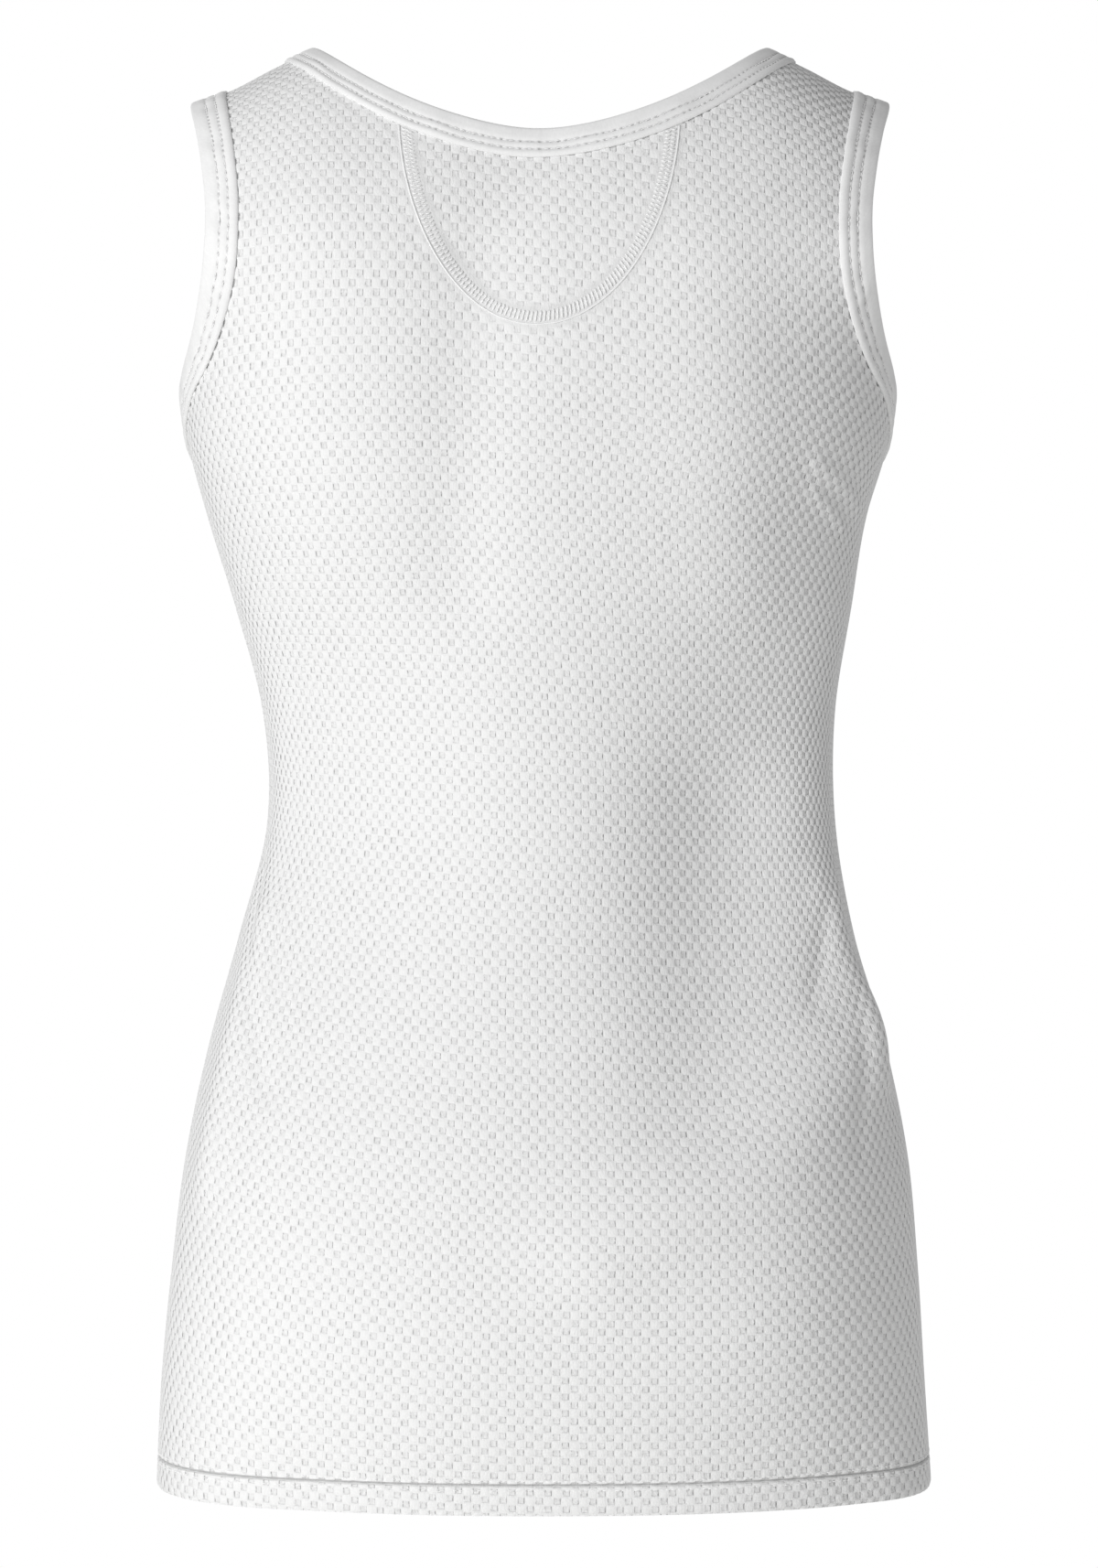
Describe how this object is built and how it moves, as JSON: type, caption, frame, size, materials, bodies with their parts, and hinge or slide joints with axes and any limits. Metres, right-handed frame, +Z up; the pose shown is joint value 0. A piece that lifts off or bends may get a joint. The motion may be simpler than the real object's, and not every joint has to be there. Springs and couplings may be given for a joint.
{
  "type": "sleeveless base layer",
  "caption": "Women's sleeveless base layer of white mesh knit, filled out as worn and hollow, with a half-moon back yoke, folded bindings at neck and armholes, and a turned-up hem.",
  "frame": {"origin": "midway between the tops of the two shoulder straps, by which the wearer holds the garment up", "axes": "+Z up, the garment's front faces -Y and its back +Y, the wearer's left is +X"},
  "size_m": [0.337, 0.2448, 0.6199],
  "materials": {
    "mesh_knit": "white checkered mesh knit, matt with a faint sheen",
    "binding_knit": "fine plain white knit, matt"
  },
  "bodies": {
    "root": {"back": "mesh_knit", "yoke": "mesh_knit", "front": "mesh_knit", "neck_binding": "binding_knit", "armhole_binding_left": "binding_knit", "armhole_binding_right": "binding_knit"}
  },
  "joints": []
}
